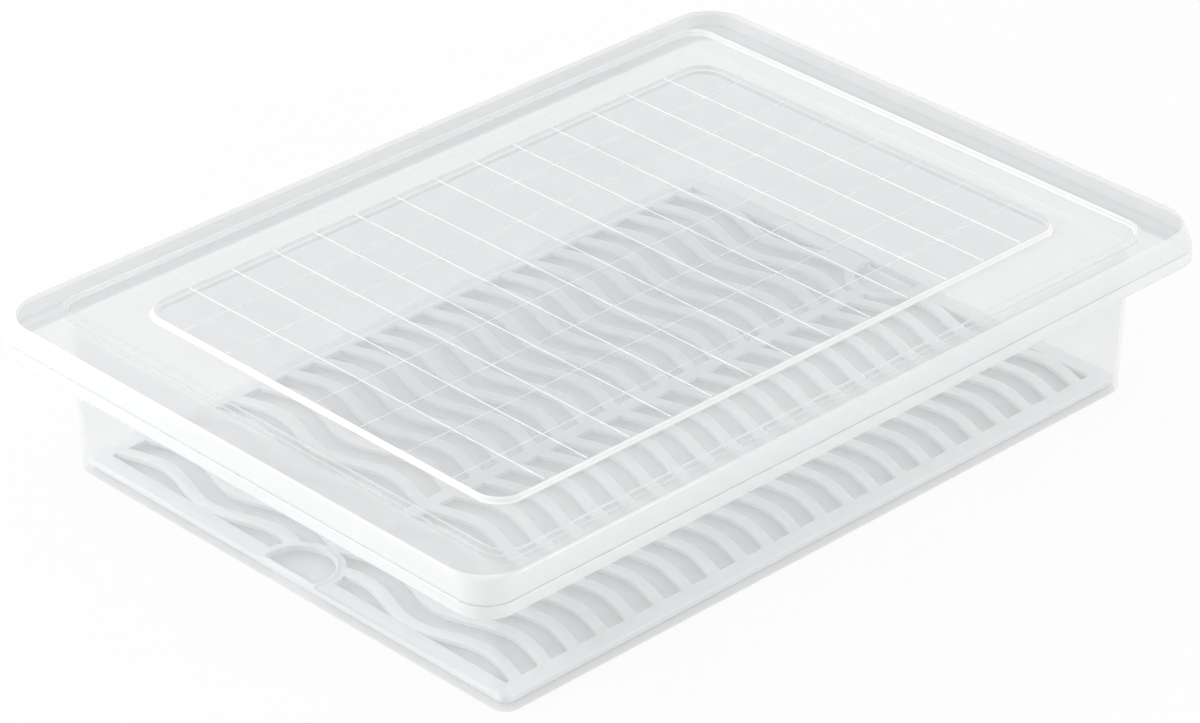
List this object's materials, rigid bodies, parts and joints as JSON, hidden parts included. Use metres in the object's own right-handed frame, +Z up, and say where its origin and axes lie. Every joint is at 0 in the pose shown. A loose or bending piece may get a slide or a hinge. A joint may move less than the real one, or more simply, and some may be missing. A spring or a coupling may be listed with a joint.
{
  "type": "fridge storage container",
  "caption": "Shallow rectangular food container with a stepped rim, a wavy-slotted drain tray inside and a lift-off cap lid with a raised grid panel.",
  "frame": {"origin": "centre of the tub's underside", "axes": "+X along the long side, +Y along the short side, +Z up"},
  "size_m": [0.3424, 0.2412, 0.064],
  "materials": {
    "tub_plastic": "translucent natural polypropylene, smooth",
    "tray_plastic": "milky translucent polypropylene, satin",
    "lid_plastic": "translucent natural polypropylene, smooth rim and finely grained panel"
  },
  "bodies": {
    "tub": {"tub": "tub_plastic"},
    "drain_tray": {"drain_tray": "tray_plastic"},
    "lid": {"lid": "lid_plastic"}
  },
  "joints": [
    {"name": "lid_lift", "type": "slide", "parent": "tub", "child": "lid", "axis": [0, 0, 1], "range_m": [0, 0.15]},
    {"name": "tray_lift", "type": "slide", "parent": "tub", "child": "drain_tray", "axis": [0, 0, 1], "range_m": [0, 0.075]}
  ],
  "couplings": [
    {"joint": "tray_lift", "follows": "lid_lift", "ratio": 0.5}
  ]
}
